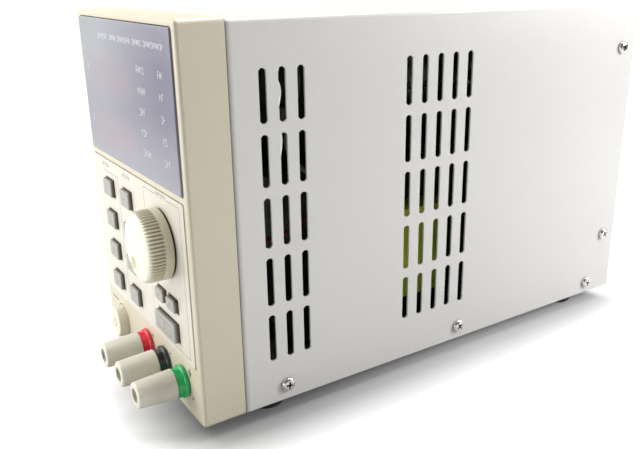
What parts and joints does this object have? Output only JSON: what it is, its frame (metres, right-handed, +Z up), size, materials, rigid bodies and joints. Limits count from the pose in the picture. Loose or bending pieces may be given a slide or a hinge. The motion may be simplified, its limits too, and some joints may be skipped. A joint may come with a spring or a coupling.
{
  "type": "bench power supply",
  "caption": "Tall narrow bench power supply: moulded front with display window, keys, ribbed knob and screw binding posts, slotted steel cover, rear fan and mains inlet.",
  "frame": {"origin": "bench level, under the middle of the overall footprint (binding posts included)", "axes": "+X to the right of someone facing the front panel, +Y from the front panel to the rear, +Z up"},
  "size_m": [0.1124, 0.26, 0.156],
  "materials": {
    "ivory_plastic": "fine satin moulding texture",
    "overlay_film": "satin printed overlay",
    "knob_ivory": "satin",
    "key_grey": "matt",
    "window_smoke": "polished, blue-grey smoked",
    "cover_paint": "satin powder coat, fine grain",
    "zinc_steel": "zinc-plated sheet",
    "nickel": "nickel plate",
    "rubber": "matt",
    "cap_beige": "satin moulding",
    "red_gloss": "gloss",
    "black_gloss": "gloss",
    "green_gloss": "gloss",
    "board_green": "solder mask",
    "black_plastic": "fine texture",
    "display_red": "diffused",
    "core_steel": "varnished laminations",
    "coil_tape": "polyester tape",
    "aluminium": "extruded, plain"
  },
  "bodies": {
    "case": {"front_bezel": "ivory_plastic", "display_window": "window_smoke", "control_overlay": "overlay_film", "top_cover": "cover_paint", "chassis_base": "zinc_steel", "rear_panel": "zinc_steel", "power_switch": "black_plastic", "display_board": "board_green", "main_board": "board_green", "digit_display_upper": "display_red", "digit_display_lower": "display_red", "transformer_core": "core_steel", "transformer_coil": "coil_tape", "heatsink": "aluminium", "fan_frame": "black_plastic", "mains_inlet": "black_plastic", "voltage_selector_housing": "black_plastic", "front_left_foot": "rubber", "front_right_foot": "rubber", "rear_left_foot": "rubber", "rear_right_foot": "rubber", "left_cover_screw_1": "nickel", "left_cover_screw_2": "nickel", "left_cover_screw_3": "nickel", "left_cover_screw_4": "nickel", "left_cover_screw_5": "nickel", "right_cover_screw_1": "nickel", "right_cover_screw_2": "nickel", "right_cover_screw_3": "nickel", "right_cover_screw_4": "nickel", "right_cover_screw_5": "nickel", "red_post_collar": "red_gloss", "red_post_stud": "nickel", "black_post_collar": "black_gloss", "black_post_stud": "nickel", "green_post_collar": "green_gloss", "green_post_stud": "nickel"},
    "memory_key_1": {"memory_key_1": "key_grey"},
    "memory_key_2": {"memory_key_2": "key_grey"},
    "memory_key_3": {"memory_key_3": "key_grey"},
    "memory_key_4": {"memory_key_4": "key_grey"},
    "function_key_1": {"function_key_1": "key_grey"},
    "function_key_2": {"function_key_2": "key_grey"},
    "function_key_3": {"function_key_3": "key_grey"},
    "function_key_4": {"function_key_4": "key_grey"},
    "left_arrow_key": {"left_arrow_key": "key_grey"},
    "right_arrow_key": {"right_arrow_key": "key_grey"},
    "output_key": {"output_key": "key_grey"},
    "power_button": {"power_button": "ivory_plastic"},
    "knob": {"adjust_knob": "knob_ivory", "encoder_shaft": "nickel"},
    "red_post_clamp_ring": {"red_post_clamp_ring": "nickel"},
    "red_post_cap": {"red_post_cap": "cap_beige"},
    "black_post_clamp_ring": {"black_post_clamp_ring": "nickel"},
    "black_post_cap": {"black_post_cap": "cap_beige"},
    "green_post_clamp_ring": {"green_post_clamp_ring": "nickel"},
    "green_post_cap": {"green_post_cap": "cap_beige"},
    "fan_rotor": {"fan_rotor": "black_plastic"},
    "voltage_selector_slider": {"voltage_selector_slider": "red_gloss"},
    "fuse_drawer": {"fuse_drawer": "black_plastic"}
  },
  "joints": [
    {"name": "memory_key_1_press", "type": "slide", "parent": "case", "child": "memory_key_1", "axis": [0, 1, 0], "range_m": [0, 0.0005]},
    {"name": "memory_key_2_press", "type": "slide", "parent": "case", "child": "memory_key_2", "axis": [0, 1, 0], "range_m": [0, 0.0005]},
    {"name": "memory_key_3_press", "type": "slide", "parent": "case", "child": "memory_key_3", "axis": [0, 1, 0], "range_m": [0, 0.0005]},
    {"name": "memory_key_4_press", "type": "slide", "parent": "case", "child": "memory_key_4", "axis": [0, 1, 0], "range_m": [0, 0.0005]},
    {"name": "function_key_1_press", "type": "slide", "parent": "case", "child": "function_key_1", "axis": [0, 1, 0], "range_m": [0, 0.0005]},
    {"name": "function_key_2_press", "type": "slide", "parent": "case", "child": "function_key_2", "axis": [0, 1, 0], "range_m": [0, 0.0005]},
    {"name": "function_key_3_press", "type": "slide", "parent": "case", "child": "function_key_3", "axis": [0, 1, 0], "range_m": [0, 0.0005]},
    {"name": "function_key_4_press", "type": "slide", "parent": "case", "child": "function_key_4", "axis": [0, 1, 0], "range_m": [0, 0.0005]},
    {"name": "left_arrow_key_press", "type": "slide", "parent": "case", "child": "left_arrow_key", "axis": [0, 1, 0], "range_m": [0, 0.0005]},
    {"name": "right_arrow_key_press", "type": "slide", "parent": "case", "child": "right_arrow_key", "axis": [0, 1, 0], "range_m": [0, 0.0005]},
    {"name": "output_key_press", "type": "slide", "parent": "case", "child": "output_key", "axis": [0, 1, 0], "range_m": [0, 0.0005]},
    {"name": "power_button_press", "type": "slide", "parent": "case", "child": "power_button", "axis": [0, 1, 0], "range_m": [0, 0.003]},
    {"name": "knob_turn", "type": "hinge", "parent": "case", "child": "knob", "pos_m": [0.0282, -0.11, 0.073], "axis": [0, -1, 0], "continuous": true},
    {"name": "red_cap_travel", "type": "slide", "parent": "case", "child": "red_post_clamp_ring", "axis": [0, -1, 0], "range_m": [0, 0.0035]},
    {"name": "red_cap_turn", "type": "hinge", "parent": "red_post_clamp_ring", "child": "red_post_cap", "pos_m": [-0.0009, -0.122, 0.018], "axis": [0, -1, 0], "range_deg": [0, 1800]},
    {"name": "black_cap_travel", "type": "slide", "parent": "case", "child": "black_post_clamp_ring", "axis": [0, -1, 0], "range_m": [0, 0.0035]},
    {"name": "black_cap_turn", "type": "hinge", "parent": "black_post_clamp_ring", "child": "black_post_cap", "pos_m": [0.01815, -0.122, 0.018], "axis": [0, -1, 0], "range_deg": [0, 1800]},
    {"name": "green_cap_travel", "type": "slide", "parent": "case", "child": "green_post_clamp_ring", "axis": [0, -1, 0], "range_m": [0, 0.0035]},
    {"name": "green_cap_turn", "type": "hinge", "parent": "green_post_clamp_ring", "child": "green_post_cap", "pos_m": [0.0372, -0.122, 0.018], "axis": [0, -1, 0], "range_deg": [0, 1800]},
    {"name": "fan_spin", "type": "hinge", "parent": "case", "child": "fan_rotor", "pos_m": [-0.014, 0.112, 0.105], "axis": [0, 1, 0], "continuous": true},
    {"name": "voltage_selector_slide", "type": "slide", "parent": "case", "child": "voltage_selector_slider", "axis": [1, 0, 0], "range_m": [0, 0.006]},
    {"name": "fuse_drawer_slide", "type": "slide", "parent": "case", "child": "fuse_drawer", "axis": [0, 1, 0], "range_m": [0, 0.018]}
  ],
  "couplings": [
    {"joint": "red_cap_turn", "follows": "red_cap_travel", "rad_per_m": 8975.9},
    {"joint": "black_cap_turn", "follows": "black_cap_travel", "rad_per_m": 8975.9},
    {"joint": "green_cap_turn", "follows": "green_cap_travel", "rad_per_m": 8975.9}
  ]
}
